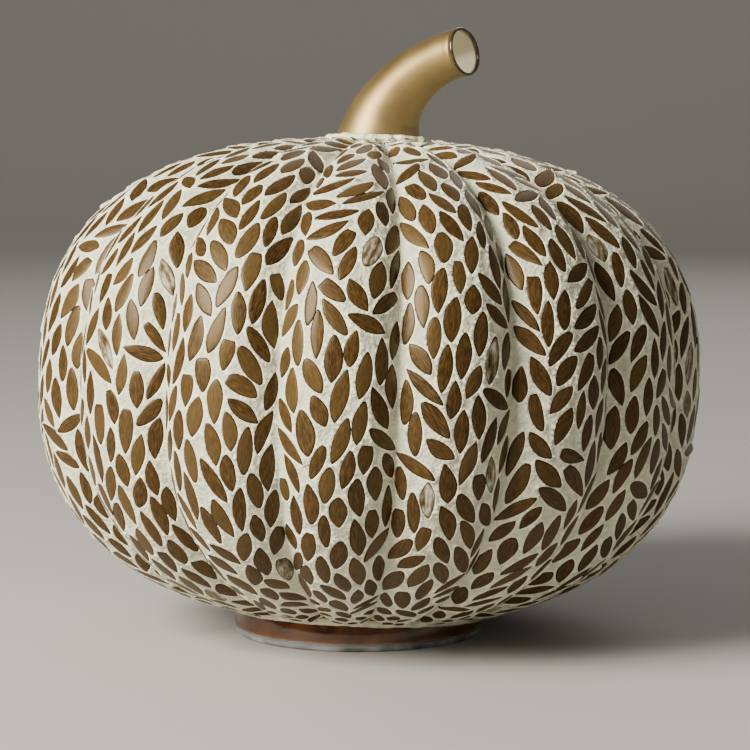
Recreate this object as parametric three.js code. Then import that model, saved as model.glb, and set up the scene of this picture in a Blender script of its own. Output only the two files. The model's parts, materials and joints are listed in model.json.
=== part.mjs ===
// A lobed glass pumpkin covered with a leaf mosaic, with a bent hollow stem and a round foot.
// Millimetres, +Z up. The front faces -Y. The stem bends towards +X and towards the front.
// The origin is the middle of the object's bounding box, on the plane that the foot stands on.
import * as THREE from 'three';
import { mergeVertices } from 'three/addons/utils/BufferGeometryUtils.js';

const rad = THREE.MathUtils.degToRad;

// ---- driving dimensions: the body's outline over the tiles ----
const CREST_RADIUS = 152.8;      // widest radius, on the crests of the lobes
const WAIST_HEIGHT = 116.9;      // height of the widest ring above the foot's centre
const CROWN_RISE = 109.7;        // from the waist up to the crown
const BELLY_DROP = 113.7;        // from the waist down to the pole of the underside
const CROWN_SQUARENESS = 2.51;   // superellipse exponent above the waist (2 is a plain ellipse)
const BELLY_SQUARENESS = 2.38;   // superellipse exponent below the waist
const LOPSIDEDNESS = 0.0074;     // fuller at the upper right and the lower left by this share

// ---- lobes ----
const LOBES = 16;
const FIRST_GROOVE = 4.7;        // bearing of the first groove, degrees from -Y towards +X
const LOBE_UNEVENNESS = 3.4;     // how far a groove strays from even spacing, degrees
const UNEVEN_BEARING = -35;      // where the straying is largest, degrees
const GROOVE_DEPTH = 0.062;      // of the distance from the body's middle, at the waist
const GROOVE_STEEPNESS = 2.7;    // exponent of the drop from crest to groove
const CROWN_FADE_RADIUS = 10;    // grooves vanish at this radius on the crown
const FOOT_FADE_RADIUS = 46;     // and at this radius on the underside
const FLANK_PLACE = 0.7;         // where the flank's extra column stands, from crest 0 to groove 1

// ---- layers, inwards from the outline ----
const MOSAIC_THICKNESS = 2.6;    // tile, cement and grout
const GAP = 0.45;                // clearance between touching pieces, measured along a radius
const GLASS_WALL = 3.0;
const GLASS_OUTSIDE = MOSAIC_THICKNESS + GAP;
const GLASS_INSIDE = GLASS_OUTSIDE + GLASS_WALL;
const SEAM = 0.22;               // half the clearance between neighbouring mosaic panels
const MOSAIC_TOP_RADIUS = 22.6;
const MOSAIC_HEM_RADIUS = 61.5;

// ---- how the body leans on its foot ----
const LEAN_RIGHT = rad(2.1);
const LEAN_BACK = rad(4.0);

// ---- foot and neck ----
const FOOT_RADIUS = 57.5;
const FOOT_BORE_RADIUS = 50.5;
const FOOT_TOP = 9.8;
const NECK_RADIUS = 54.0;
const NECK_BORE_RADIUS = 51.0;
const NECK_END_HEIGHT = 2.2;     // above the table, inside the foot
const FOOT_LEDGE_HEIGHT = 1.8;   // the ledge in the foot below the neck's end
const FOOT_EDGE = 1.2;           // bevel of the foot's outer lower edge
const NECK_SHOULDER = 0.9;       // the neck begins this far above the foot's top
const BORE_SHOULDER = 3.6;       // and its bore this far above the foot's top
const HEM_CLEARANCE = 0.35;      // between the foot and the hem of grout
const HEM_SECTION = [            // distance outside the clearance, height over the hem of the mosaic
  [0, -1.5], [1.9, -1.8], [3.1, -0.8], [1.8, 1.8], [0, 1.8],
];

// ---- stem ----
const STEM_BASE = WAIST_HEIGHT + CROWN_RISE - 1.95;  // underside of the stem, above the adhesive
const STEM_BASE_RADIUS = 20.2;
const STEM_TIP_RADIUS = 11.0;
const STEM_BASE_WALL = 2.4;
const STEM_TIP_WALL = 1.4;
const STEM_BEARING = rad(53.5);  // direction of the bend, from -Y towards +X
const STEM_RUN = 46.8;
const STEM_RISE = 41.9;
const STEM_FLARE = 2.09;         // exponent of the widening towards the base
const STEM_ROOT = [4.4, 0.52];   // first handle of the bend: its run, and its share of the rise
const STEM_SHOULDER = [0.5, 0.89];  // second handle: its shares of the run and of the rise
const STEM_CLEARANCE = 0.4;      // between the stem and its bead of grout
const STEM_BEAD_SECTION = [      // distance outside the clearance, height over the crown
  [0, -2.5], [1.1, -2.5], [1.6, 0.3], [5.2, 0.2], [3.4, 1.5], [1.2, 2.1], [0, 2.1],
];
const LIP_WRAP_LENGTH = 1.5;
const ADHESIVE_THICKNESS = 0.5;

// ---- fineness of the meshes ----
const COLUMNS_PER_LOBE = 4;
const AROUND_BODY = LOBES * COLUMNS_PER_LOBE;
const PANEL_ROWS = 14;
const GLASS_ROWS = 15;
const LINING_ROWS = 11;
const AROUND_STEM = 26;
const STEM_STEPS = 11;

// ---- the lobed outline ----

/** Bearing of groove number i, in radians from -Y towards +X. */
function grooveBearing(i) {
  const even = FIRST_GROOVE + (360 * i) / LOBES;
  return rad(even + LOBE_UNEVENNESS * Math.cos(rad(2 * (even - UNEVEN_BEARING))));
}

/** Bearing at place u across lobe i, where u is -1 and 1 in the grooves and 0 on the crest. */
function lobeBearing(i, u) {
  return THREE.MathUtils.lerp(grooveBearing(i), grooveBearing(i + 1), (u + 1) / 2);
}

/** Radius and height of the outline at a latitude seen from the body's middle, less a skin. */
function outline(latitude, skin) {
  const upper = latitude > 0;
  const n = upper ? CROWN_SQUARENESS : BELLY_SQUARENESS;
  const rise = (upper ? CROWN_RISE : BELLY_DROP) - skin;
  const across = Math.abs(Math.cos(latitude)) / (CREST_RADIUS - skin);
  const along = Math.abs(Math.sin(latitude)) / rise;
  const reach = (across ** n + along ** n) ** (-1 / n);
  return { radius: reach * Math.cos(latitude), height: reach * Math.sin(latitude) };
}

/** How deep the grooves are at this radius, as a share of the distance from the middle. */
function grooveShare(radius, latitude) {
  const fade = latitude > 0 ? CROWN_FADE_RADIUS : FOOT_FADE_RADIUS;
  return GROOVE_DEPTH * Math.sqrt(Math.max(0, (radius - fade) / (CREST_RADIUS - fade)));
}

/** A point of the lobed body: latitude in radians, bearing, place u across the lobe, skin. */
function bodyPoint(latitude, bearing, u, skin) {
  const { radius, height } = outline(latitude, skin);
  const groove = grooveShare(radius, latitude) * Math.abs(u) ** GROOVE_STEEPNESS;
  const askew = LOPSIDEDNESS * Math.sin(2 * latitude) * Math.cos(latitude) * Math.sin(bearing);
  const scale = (1 - groove) * (1 + askew);
  const r = radius * scale;
  return new THREE.Vector3(r * Math.sin(bearing), -r * Math.cos(bearing), WAIST_HEIGHT + height * scale);
}

/** The latitude at which the outline has this radius, on the crown or on the belly. */
function latitudeOfRadius(radius, onCrown) {
  let low = 0;
  let high = onCrown ? Math.PI / 2 : -Math.PI / 2;
  for (let step = 0; step < 40; step += 1) {
    const middle = (low + high) / 2;
    if (outline(middle, 0).radius > radius) low = middle;
    else high = middle;
  }
  return (low + high) / 2;
}

// ---- helpers for closed meshes ----

/** Joins shared vertices and turns the faces outwards, so that the geometry is one closed body. */
function closedBody(geometry) {
  geometry.deleteAttribute('normal');
  geometry.deleteAttribute('uv');
  const body = mergeVertices(geometry, 1e-4);
  const index = Array.from(body.index.array);
  const p = new THREE.BufferAttribute(body.attributes.position.array, 3);
  const corners = [0, 1, 2].map(() => new THREE.Vector3());
  const kept = [];
  let volume = 0;
  for (let i = 0; i < index.length; i += 3) {
    const face = index.slice(i, i + 3);
    if (new Set(face).size < 3) continue;
    face.forEach((vertex, k) => corners[k].fromBufferAttribute(p, vertex));
    volume += corners[0].dot(corners[1].clone().cross(corners[2]));
    kept.push(face);
  }
  body.setIndex(kept.flatMap(([a, b, c]) => (volume < 0 ? [a, c, b] : [a, b, c])));
  body.computeVertexNormals();
  return body;
}

/** Moves every vertex of a geometry by a function of its place. */
function reshape(geometry, move) {
  const position = geometry.attributes.position;
  const point = new THREE.Vector3();
  for (let i = 0; i < position.count; i += 1) {
    const moved = move(point.fromBufferAttribute(position, i), i);
    position.setXYZ(i, moved.x, moved.y, moved.z);
  }
  return geometry;
}

/** A turned ring about +Z from a closed profile of [radius, height] pairs. */
function turned(profile, segments) {
  const closed = [...profile, profile[0]].map(([radius, height]) => new THREE.Vector2(radius, height));
  return new THREE.LatheGeometry(closed, segments).rotateX(Math.PI / 2);
}

/** A standard material. */
function material(color, roughness, metalness = 0) {
  return new THREE.MeshStandardMaterial({ color, roughness, metalness });
}

/** A named mesh. */
function piece(name, geometry, finish) {
  const mesh = new THREE.Mesh(closedBody(geometry), finish);
  mesh.name = name;
  return mesh;
}

const lean = new THREE.Group();
lean.rotation.set(-LEAN_BACK, LEAN_RIGHT, 0);
lean.updateMatrix();
const tableNormal = new THREE.Vector3(0, 0, 1).transformDirection(lean.matrix.clone().transpose());

/** Height, along the leaning body's axis, of a plane so far above the table. */
function levelHeight(point, above) {
  return (above - tableNormal.x * point.x - tableNormal.y * point.y) / tableNormal.z;
}

// ---- glass globe with its neck ----

/** The globe's section from outer pole to inner pole, each stop with its own kind of place. */
function globeStops() {
  const bottom = latitudeOfRadius(MOSAIC_HEM_RADIUS - 2, false);
  const stops = [];
  for (let row = 0; row <= GLASS_ROWS; row += 1) {
    const latitude = THREE.MathUtils.lerp(Math.PI / 2, bottom, row / GLASS_ROWS);
    stops.push({ latitude, skin: GLASS_OUTSIDE });
  }
  stops.push(
    { radius: NECK_RADIUS, height: FOOT_TOP + NECK_SHOULDER },
    { radius: NECK_RADIUS, level: NECK_END_HEIGHT },
    { radius: NECK_BORE_RADIUS, level: NECK_END_HEIGHT },
    { radius: NECK_BORE_RADIUS, height: FOOT_TOP + BORE_SHOULDER },
  );
  for (let row = 0; row <= LINING_ROWS; row += 1) {
    const latitude = THREE.MathUtils.lerp(bottom, Math.PI / 2, row / LINING_ROWS);
    stops.push({ latitude, skin: GLASS_INSIDE });
  }
  return stops;
}

/** The blown globe: outer skin, neck and inner skin as one body, open at the neck. */
function glassGlobe() {
  const stops = globeStops();
  const profile = stops.map((stop, row) => new THREE.Vector2(1, row));
  const places = [-1, -FLANK_PLACE, 0, FLANK_PLACE];
  const geometry = new THREE.LatheGeometry(profile, AROUND_BODY);
  const perColumn = stops.length;
  return reshape(geometry, (point, i) => {
    const column = Math.floor(i / perColumn) % AROUND_BODY;
    const stop = stops[i % perColumn];
    const u = places[column % COLUMNS_PER_LOBE];
    const bearing = lobeBearing(Math.floor(column / COLUMNS_PER_LOBE), u);
    if (stop.latitude === Math.PI / 2) return point.set(0, 0, WAIST_HEIGHT + CROWN_RISE - stop.skin);
    if (stop.latitude !== undefined) return bodyPoint(stop.latitude, bearing, u, stop.skin);
    const x = stop.radius * Math.sin(bearing);
    const y = -stop.radius * Math.cos(bearing);
    const z = stop.level === undefined ? stop.height : levelHeight({ x, y }, stop.level);
    return point.set(x, y, z);
  });
}

// ---- mosaic panels ----

/** The mosaic on one lobe: a bent slab from the stem down to the foot, from groove to groove. */
function mosaicPanel(lobe) {
  const top = latitudeOfRadius(MOSAIC_TOP_RADIUS, true);
  const hem = latitudeOfRadius(MOSAIC_HEM_RADIUS, false);
  const slab = new THREE.BoxGeometry(2, 1, 1, COLUMNS_PER_LOBE, PANEL_ROWS, 1);
  return reshape(slab, (point) => {
    const even = Math.round(point.x * 2) / 2;
    const u = Math.abs(even) === 0.5 ? Math.sign(even) * FLANK_PLACE : even;
    const latitude = THREE.MathUtils.lerp(hem, top, point.y + 0.5);
    const skin = point.z > 0 ? 0 : MOSAIC_THICKNESS;
    const seam = Math.abs(u) === 1 ? (-Math.sign(u) * SEAM) / outline(latitude, skin).radius : 0;
    return bodyPoint(latitude, lobeBearing(lobe, u) + seam, u, skin);
  });
}

// ---- foot, hem, stem bead and adhesive ----

/** The clear foot round the neck, cut level with the table although the body leans. */
function footRing() {
  const edge = FOOT_RADIUS - FOOT_EDGE;
  const marks = [
    [FOOT_RADIUS, FOOT_TOP - FOOT_EDGE], [FOOT_RADIUS, FOOT_EDGE], [edge, 0], [FOOT_BORE_RADIUS, 0],
    [FOOT_BORE_RADIUS, FOOT_LEDGE_HEIGHT], [NECK_RADIUS + GAP, FOOT_LEDGE_HEIGHT],
    [NECK_RADIUS + GAP, FOOT_TOP], [edge, FOOT_TOP],
  ];
  return reshape(turned(marks, AROUND_BODY), (point) => {
    if (point.z <= FOOT_LEDGE_HEIGHT + 1e-6) point.z = levelHeight(point, point.z);
    return point;
  });
}

/** The hem of grout between the ends of the panels and the foot. */
function hemBead() {
  const inner = FOOT_RADIUS + HEM_CLEARANCE;
  const hem = WAIST_HEIGHT + outline(latitudeOfRadius(MOSAIC_HEM_RADIUS, false), 0).height;
  return turned(HEM_SECTION.map(([out, height]) => [inner + out, hem + height]), AROUND_BODY);
}

/** The bead of grout round the base of the stem. */
function stemBead() {
  const crown = WAIST_HEIGHT + CROWN_RISE;
  const inner = STEM_BASE_RADIUS + STEM_CLEARANCE;
  return turned(STEM_BEAD_SECTION.map(([out, height]) => [inner + out, crown + height]), AROUND_STEM);
}

/** The adhesive between the stem's base and the crown. */
function adhesiveRing() {
  const top = STEM_BASE - 0.3;
  const inner = STEM_BASE_RADIUS - STEM_BASE_WALL;
  const section = [[inner, top - ADHESIVE_THICKNESS], [STEM_BASE_RADIUS, top - ADHESIVE_THICKNESS]];
  return turned([...section, [STEM_BASE_RADIUS, top], [inner, top]], AROUND_STEM);
}

// ---- stem ----

const stemLine = new THREE.CubicBezierCurve(
  new THREE.Vector2(0, 0),
  new THREE.Vector2(STEM_ROOT[0], STEM_ROOT[1] * STEM_RISE),
  new THREE.Vector2(STEM_SHOULDER[0] * STEM_RUN, STEM_SHOULDER[1] * STEM_RISE),
  new THREE.Vector2(STEM_RUN, STEM_RISE),
);

/** Outer radius of the stem: wide at the base, slim along the bend. */
function stemRadius(along) {
  return STEM_TIP_RADIUS + (STEM_BASE_RADIUS - STEM_TIP_RADIUS) * (1 - along) ** STEM_FLARE;
}

/** Puts a point given as radius vector (x, y) and place along the stem onto the bent line. */
function ontoStem(x, y, along, beyond = 0) {
  const centre = stemLine.getPoint(along);
  const tangent = stemLine.getTangent(along);
  const tilt = Math.atan2(tangent.x, tangent.y) * THREE.MathUtils.smoothstep(along, 0, 0.3);
  const run = centre.x + x * Math.cos(tilt) + beyond * Math.sin(tilt);
  const rise = centre.y - x * Math.sin(tilt) + beyond * Math.cos(tilt);
  const forward = new THREE.Vector3(Math.sin(STEM_BEARING), -Math.cos(STEM_BEARING), 0);
  const sideways = new THREE.Vector3(Math.cos(STEM_BEARING), Math.sin(STEM_BEARING), 0);
  return forward.multiplyScalar(run).addScaledVector(sideways, y).setZ(STEM_BASE + rise);
}

/** The hollow tapered stem, open at both ends. */
function stemTube() {
  const outside = [];
  const inside = [];
  for (let step = 0; step <= STEM_STEPS; step += 1) {
    const along = step / STEM_STEPS;
    const wall = THREE.MathUtils.lerp(STEM_BASE_WALL, STEM_TIP_WALL, along);
    outside.push([stemRadius(along), along]);
    inside.unshift([stemRadius(along) - wall, along]);
  }
  const straight = turned([...outside, ...inside], AROUND_STEM);
  return reshape(straight, (point) => ontoStem(point.x, point.y, point.z));
}

/** The thin dark lip wrapped on the stem's cut end. */
function lipWrap() {
  const outer = STEM_TIP_RADIUS + 0.25;
  const inner = STEM_TIP_RADIUS - STEM_TIP_WALL - 0.1;
  const near = 0.3;
  const far = near + LIP_WRAP_LENGTH;
  const middle = (outer + inner) / 2;
  const section = [[outer, near], [outer, far - 0.5], [middle, far], [inner, far - 0.5], [inner, near]];
  return reshape(turned(section, AROUND_STEM), (point) => ontoStem(point.x, point.y, 1, point.z));
}

// ---- assembly ----

const amberGlass = material(0x9a5a22, 0.15, 0.2);
const clearGlass = material(0xaeb0a8, 0.1);
const goldGlass = material(0xa8894e, 0.2, 0.4);
const darkGlass = material(0x4a2d18, 0.2);
const leafMosaic = material(0x7d5f38, 0.35);
const paleGrout = material(0xe2e1d6, 0.9);
const clearAdhesive = material(0xd9d4c4, 0.3);

lean.add(piece('glass_globe', glassGlobe(), amberGlass));
for (let lobe = 0; lobe < LOBES; lobe += 1) {
  const number = String(lobe + 1).padStart(2, '0');
  lean.add(piece(`mosaic_lobe_${number}`, mosaicPanel(lobe), leafMosaic));
}
lean.add(piece('foot_ring', footRing(), clearGlass));
lean.add(piece('hem_grout_bead', hemBead(), paleGrout));
lean.add(piece('stem_adhesive', adhesiveRing(), clearAdhesive));
lean.add(piece('stem_grout_bead', stemBead(), paleGrout));
lean.add(piece('stem_tube', stemTube(), goldGlass));
lean.add(piece('stem_lip_wrap', lipWrap(), darkGlass));

const pumpkin = new THREE.Group();
pumpkin.add(lean);
pumpkin.updateMatrixWorld(true);
const middle = new THREE.Box3().setFromObject(pumpkin, true).getCenter(new THREE.Vector3());
lean.position.set(-middle.x, -middle.y, 0);

export default pumpkin;
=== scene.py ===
"""Looks of a lobed glass pumpkin with a leaf mosaic, a bent hollow stem and a round clear foot.

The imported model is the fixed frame, in metres with +Z up; the front faces -Y. Shapes are worked out in
millimetres in the body's own upright frame, then leant and moved onto the frame's foot.
"""

import json
import logging
import math
from dataclasses import dataclass, field
from enum import Enum, IntEnum

import bpy
import numpy as np
from mathutils import Matrix, Vector, kdtree, noise
from mathutils.geometry import delaunay_2d_cdt


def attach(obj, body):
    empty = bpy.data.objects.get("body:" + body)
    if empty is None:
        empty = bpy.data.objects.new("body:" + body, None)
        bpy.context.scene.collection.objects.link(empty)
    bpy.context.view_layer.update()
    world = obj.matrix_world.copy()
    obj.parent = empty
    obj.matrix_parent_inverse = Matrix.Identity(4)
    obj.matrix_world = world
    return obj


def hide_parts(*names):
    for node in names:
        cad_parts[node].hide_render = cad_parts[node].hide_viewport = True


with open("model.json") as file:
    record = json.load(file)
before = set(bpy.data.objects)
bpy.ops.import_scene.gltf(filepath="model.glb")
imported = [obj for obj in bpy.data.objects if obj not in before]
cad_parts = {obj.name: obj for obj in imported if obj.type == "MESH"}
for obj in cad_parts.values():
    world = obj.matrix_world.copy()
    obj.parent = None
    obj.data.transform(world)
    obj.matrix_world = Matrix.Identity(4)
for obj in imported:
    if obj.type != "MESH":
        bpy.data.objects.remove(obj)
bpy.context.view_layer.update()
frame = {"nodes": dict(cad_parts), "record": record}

MM = 0.001
ROOT = "root"
log = logging.getLogger("pumpkin")
Array = np.ndarray
Triple = tuple[float, float, float]
Faces = list[tuple[int, ...]]
Socket = bpy.types.NodeSocket
LAMP_AIM = (0.0, 0.0, 0.12)  # where the lamps look, in metres
GOLDEN_SHARE = 0.618034


class Slot(Enum):
    """The record's material slots that the pieces use."""

    AMBER = "amber_glass"
    LEAF = "leaf_tile"
    GROUT = "grout"
    CLEAR = "clear_glass"
    GOLD = "gold_glass"
    DARK = "dark_glass"


class Trace(Enum):
    """Names of the values that the meshes carry for their materials."""

    TINT = "tint"
    # Tile edge darkness, which is partly painted shade; in the stem it marks the bore, with painted light on
    # its lower side.
    RIM = "rim"
    GRAIN = "grain"
    # How much of a lip the grout is; the grout is painted lighter there as painted highlight and darker in
    # the hollows as painted shade.
    LIP = "lip"


class Seed(IntEnum):
    """Where each kind of chance starts. The number of the rib is added."""

    LEAVES = 100
    FILLER = 300
    GLASS = 500
    TIP = 900


# ---------------------------------------------------------------------------------------------------------
# Material building
# ---------------------------------------------------------------------------------------------------------


class NodeBench:
    """A material's node tree with short calls for the nodes that the finishes use."""

    def __init__(self, name: str) -> None:
        """Starts an empty material with one Principled shader.

        Args:
            name: Name of the material.
        """
        self.material = bpy.data.materials.new(name)
        self.material.use_nodes = True
        self.tree = self.material.node_tree
        self.tree.nodes.clear()
        self.shader = self.tree.nodes.new("ShaderNodeBsdfPrincipled")
        self.output = self.tree.nodes.new("ShaderNodeOutputMaterial")
        self.tree.links.new(self.shader.outputs[0], self.output.inputs["Surface"])

    def set(self, **values: object) -> None:
        """Sets constant shader sockets, named with underscores for spaces.

        Args:
            **values: Socket values.
        """
        for name, value in values.items():
            self.shader.inputs[name.replace("_", " ")].default_value = value

    def link(self, source: Socket, target: str) -> None:
        """Links an output to a shader socket.

        Args:
            source: The output socket.
            target: Name of the shader's input.
        """
        self.tree.links.new(source, self.shader.inputs[target])

    def trace(self, name: Trace, output: str = "Fac") -> Socket:
        """Reads a value carried by the mesh.

        Args:
            name: Which value.
            output: Which output of the Attribute node.

        Returns:
            The output socket.
        """
        node = self.tree.nodes.new("ShaderNodeAttribute")
        node.attribute_name = name.value
        return node.outputs[output]

    def place(self) -> Socket:
        """Gives the object-space place of the shaded point.

        Returns:
            The output socket.
        """
        return self.tree.nodes.new("ShaderNodeTexCoord").outputs["Object"]

    def noise(self, scale: float, detail: float = 3.0, vector: Socket | None = None) -> Socket:
        """Adds a noise pattern.

        Args:
            scale: Cells in each metre, or in each unit of the vector.
            detail: Octaves.
            vector: Where the pattern is read, or None for object space.

        Returns:
            The pattern's value, about 0.5 on average.
        """
        node = self.tree.nodes.new("ShaderNodeTexNoise")
        node.inputs["Scale"].default_value = scale
        node.inputs["Detail"].default_value = detail
        self.tree.links.new(vector or self.place(), node.inputs["Vector"])
        return node.outputs["Fac"]

    def stretch(self, vector: Socket, scale: Triple) -> Socket:
        """Scales a vector.

        Args:
            vector: The vector.
            scale: Factor along each axis.

        Returns:
            The scaled vector.
        """
        node = self.tree.nodes.new("ShaderNodeMapping")
        node.inputs["Scale"].default_value = scale
        self.tree.links.new(vector, node.inputs["Vector"])
        return node.outputs["Vector"]

    def ramp(self, value: Socket, stops: list[tuple[float, Triple]]) -> Socket:
        """Turns a value into a colour.

        Args:
            value: The value.
            stops: Places from 0 to 1 with linear colours.

        Returns:
            The colour output.
        """
        node = self.tree.nodes.new("ShaderNodeValToRGB")
        elements = node.color_ramp.elements
        while len(elements) < len(stops):
            elements.new(1.0)
        for element, (position, color) in zip(elements, stops):
            element.position = position
            element.color = (*color, 1.0)
        self.tree.links.new(value, node.inputs["Fac"])
        return node.outputs["Color"]

    def rescale(self, value: Socket, low: float, high: float, to_low: float, to_high: float) -> Socket:
        """Maps a value from one range to another.

        Args:
            value: The value.
            low: Start of its range.
            high: End of its range.
            to_low: What low becomes.
            to_high: What high becomes.

        Returns:
            The mapped value.
        """
        node = self.tree.nodes.new("ShaderNodeMapRange")
        self.tree.links.new(value, node.inputs["Value"])
        for name, number in zip(("From Min", "From Max", "To Min", "To Max"), (low, high, to_low, to_high)):
            node.inputs[name].default_value = number
        return node.outputs["Result"]

    def blend(self, share: Socket, first: Socket | Triple, second: Socket | Triple) -> Socket:
        """Mixes two colours.

        Args:
            share: How much of the second colour.
            first: A socket or a linear colour.
            second: A socket or a linear colour.

        Returns:
            The mixed colour.
        """
        node = self.tree.nodes.new("ShaderNodeMix")
        node.data_type = "RGBA"
        self.tree.links.new(share, node.inputs["Factor"])
        for socket, source in ((node.inputs[6], first), (node.inputs[7], second)):
            if isinstance(source, tuple):
                socket.default_value = (*source, 1.0)
            else:
                self.tree.links.new(source, socket)
        return node.outputs[2]

    def bump(self, height: Socket, distance: float, strength: float = 1.0) -> None:
        """Adds a bump to the shader's normal.

        Args:
            height: The height pattern, 0 to 1.
            distance: Height of the pattern in metres.
            strength: Share of the bump that shows.
        """
        node = self.tree.nodes.new("ShaderNodeBump")
        node.inputs["Distance"].default_value = distance
        node.inputs["Strength"].default_value = strength
        self.tree.links.new(height, node.inputs["Height"])
        self.link(node.outputs["Normal"], "Normal")


@dataclass(frozen=True)
class LeafGlass:
    """Brown lustre glass of the leaf tiles."""

    darkest: Triple = (0.025, 0.0122, 0.003)
    middle: Triple = (0.042, 0.0225, 0.0055)
    lightest: Triple = (0.076, 0.048, 0.015)
    clear: Triple = (0.20, 0.17, 0.10)
    sparkle: Triple = (0.60, 0.59, 0.46)
    sheen: Triple = (1.0, 0.86, 0.56)
    # Edge colour: the glass's own dark edge, deepened by painted shade in the gap at the grout.
    edge: Triple = (0.012, 0.006, 0.002)
    streak: Triple = (0.140, 0.070, 0.018)
    roughness: float = 0.40
    coat: float = 0.07

    def make(self) -> bpy.types.Material:
        """Builds the material.

        Returns:
            The material.
        """
        bench = NodeBench("leaf_glass")
        bench.set(Metallic=0.12, IOR=1.46, Coat_Weight=self.coat, Coat_Roughness=0.16)
        bench.shader.inputs["Specular IOR Level"].default_value = 0.30
        bench.shader.inputs["Specular Tint"].default_value = (*self.sheen, 1.0)
        stops = [(0.0, self.darkest), (0.5, self.middle), (0.95, self.lightest)]
        character = bench.trace(Trace.TINT)
        speckles = bench.noise(1.0, 4.0, bench.stretch(bench.trace(Trace.GRAIN, "Vector"), (0.16, 0.45, 1.0)))
        cloudy = bench.ramp(speckles, [(0.36, self.middle), (0.50, self.clear), (0.66, self.sparkle)])
        is_clear = bench.rescale(character, 0.96, 0.99, 0.0, 1.0)
        tinted = bench.blend(is_clear, bench.ramp(character, stops), cloudy)
        along = bench.stretch(bench.trace(Trace.GRAIN, "Vector"), (0.30, 1.7, 1.0))
        streaks = bench.noise(1.0, 5.0, along)
        streaked = bench.blend(bench.rescale(streaks, 0.42, 0.72, 0.0, 0.75), tinted, self.streak)
        # Darkens each tile's edge: partly the glass's dark edge, partly painted shade where the tile meets
        # the grout.
        rimmed = bench.blend(bench.rescale(bench.trace(Trace.RIM), 0.45, 1.0, 0.0, 0.9), streaked, self.edge)
        bench.link(rimmed, "Base Color")
        bench.link(bench.rescale(streaks, 0.3, 0.7, self.roughness - 0.06, self.roughness + 0.1), "Roughness")
        bench.bump(streaks, 0.00012, 0.5)
        return bench.material


@dataclass(frozen=True)
class SandedGrout:
    """Off-white sanded grout: painted highlight on its lips, painted shade in the hollows, mottled between
    them.
    """

    # The lip colour carries a painted highlight; the hollow colour carries painted shade.
    lip: Triple = (0.97, 0.925, 0.66)
    hollow: Triple = (0.66, 0.645, 0.46)
    stain: Triple = (0.38, 0.40, 0.31)

    def make(self) -> bpy.types.Material:
        """Builds the material.

        Returns:
            The material.
        """
        bench = NodeBench("sanded_grout")
        bench.set(Roughness=0.88)
        bench.shader.inputs["Specular IOR Level"].default_value = 0.25
        # Painted light and shade: lighter where the grout laps up to a tile, darker in the hollows between.
        base = bench.blend(bench.rescale(bench.trace(Trace.LIP), 0.1, 0.9, 0.0, 1.0), self.hollow, self.lip)
        mottled = bench.blend(bench.rescale(bench.noise(230.0, 5.0), 0.46, 0.74, 0.0, 0.6), base, self.stain)
        bench.link(mottled, "Base Color")
        bench.bump(bench.noise(620.0, 5.0), 0.0010, 1.0)
        return bench.material


@dataclass(frozen=True)
class LustreGlass:
    """Blown glass with a metallic lustre inside it."""

    name: str
    light: Triple
    deep: Triple
    metallic: float
    roughness: float
    coat: float

    def make(self) -> bpy.types.Material:
        """Builds the material.

        Returns:
            The material.
        """
        bench = NodeBench(self.name)
        bench.set(Metallic=self.metallic, IOR=1.5, Coat_Weight=self.coat, Coat_Roughness=0.06)
        drift = bench.noise(26.0, 3.0)
        bench.link(bench.ramp(drift, [(0.3, self.deep), (0.7, self.light)]), "Base Color")
        bench.link(bench.rescale(drift, 0.3, 0.7, self.roughness - 0.04, self.roughness + 0.05), "Roughness")
        bench.bump(bench.noise(45.0, 1.0), 0.0006, 0.25)
        return bench.material


@dataclass(frozen=True)
class StemGlass:
    """Gold lustre outside, pale thin glass inside with some light showing through, and painted light in the
    bore: it glows and is paler on its lower side.
    """

    light: Triple = (0.43, 0.305, 0.128)
    deep: Triple = (0.24, 0.157, 0.055)
    pale: Triple = (0.95, 0.92, 0.76)
    # Glow colour: used for the light passing through the thin wall and for the painted glow of the bore.
    glow: Triple = (0.95, 0.88, 0.64)
    brush_scale: Triple = (60.0, 60.0, 420.0)

    def make(self) -> bpy.types.Material:
        """Builds the material.

        Returns:
            The material.
        """
        bench = NodeBench("gold_lustre")
        inside = bench.trace(Trace.RIM)
        drift = bench.noise(26.0, 3.0)
        gold = bench.ramp(drift, [(0.3, self.deep), (0.7, self.light)])
        bench.set(IOR=1.5, Coat_Weight=0.03, Coat_Roughness=0.16)
        brushing = bench.noise(1.0, 4.0, bench.stretch(bench.place(), self.brush_scale))
        fine = bench.rescale(brushing, 0.4, 0.7, 0.0, 0.35)
        brushed = bench.blend(fine, gold, self.deep)
        # The bore's base colour is painted paler on its lower side and darker on its upper side: painted
        # light and painted shade.
        bench.link(bench.blend(inside, brushed, self.pale), "Base Color")
        bench.link(bench.rescale(inside, 0.0, 1.0, 0.85, 0.0), "Metallic")
        bench.link(bench.rescale(drift, 0.3, 0.7, 0.42, 0.50), "Roughness")
        # Painted glow: the bore gives off light of its own, most on its lower side.
        bench.link(bench.rescale(inside, 0.68, 1.0, 0.0, 1.25), "Emission Strength")
        bench.shader.inputs["Emission Color"].default_value = (*self.glow, 1.0)
        bench.bump(bench.noise(45.0, 1.0), 0.0006, 0.25)
        through = bench.tree.nodes.new("ShaderNodeBsdfTranslucent")
        through.inputs["Color"].default_value = (*self.glow, 1.0)
        share = bench.tree.nodes.new("ShaderNodeMixShader")
        bench.tree.links.new(bench.rescale(inside, 0.0, 1.0, 0.10, 0.62), share.inputs["Fac"])
        bench.tree.links.new(bench.shader.outputs[0], share.inputs[1])
        bench.tree.links.new(through.outputs[0], share.inputs[2])
        bench.tree.links.new(share.outputs[0], bench.output.inputs["Surface"])
        return bench.material


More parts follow.
